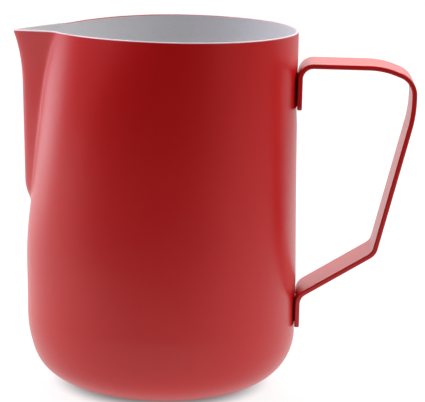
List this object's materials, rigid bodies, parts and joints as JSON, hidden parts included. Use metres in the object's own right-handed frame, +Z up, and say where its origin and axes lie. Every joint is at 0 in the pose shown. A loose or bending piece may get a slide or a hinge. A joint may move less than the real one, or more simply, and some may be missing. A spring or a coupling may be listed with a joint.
{
  "type": "milk frothing pitcher",
  "caption": "Pressed steel frothing jug with a pinched pouring spout, grey non-stick lining, red coat and an open strap handle spot-welded at both ends.",
  "frame": {"origin": "centre of the flat foot, on the surface that the jug stands on", "axes": "+Z up, along the jug's round wall; +X towards the handle, so the spout points along -X; +Y across the handle"},
  "size_m": [0.1322, 0.09, 0.1194],
  "materials": {
    "red_coat": "satin, fine-grained baked coat",
    "grey_lining": "matte non-stick lining",
    "weld_steel": "bare stainless steel, hidden in the joint"
  },
  "bodies": {
    "root": {"jug_body": "red_coat", "nonstick_lining": "grey_lining", "handle_strap": "red_coat", "upper_tab_welds": "weld_steel", "lower_tab_welds": "weld_steel"}
  },
  "joints": []
}
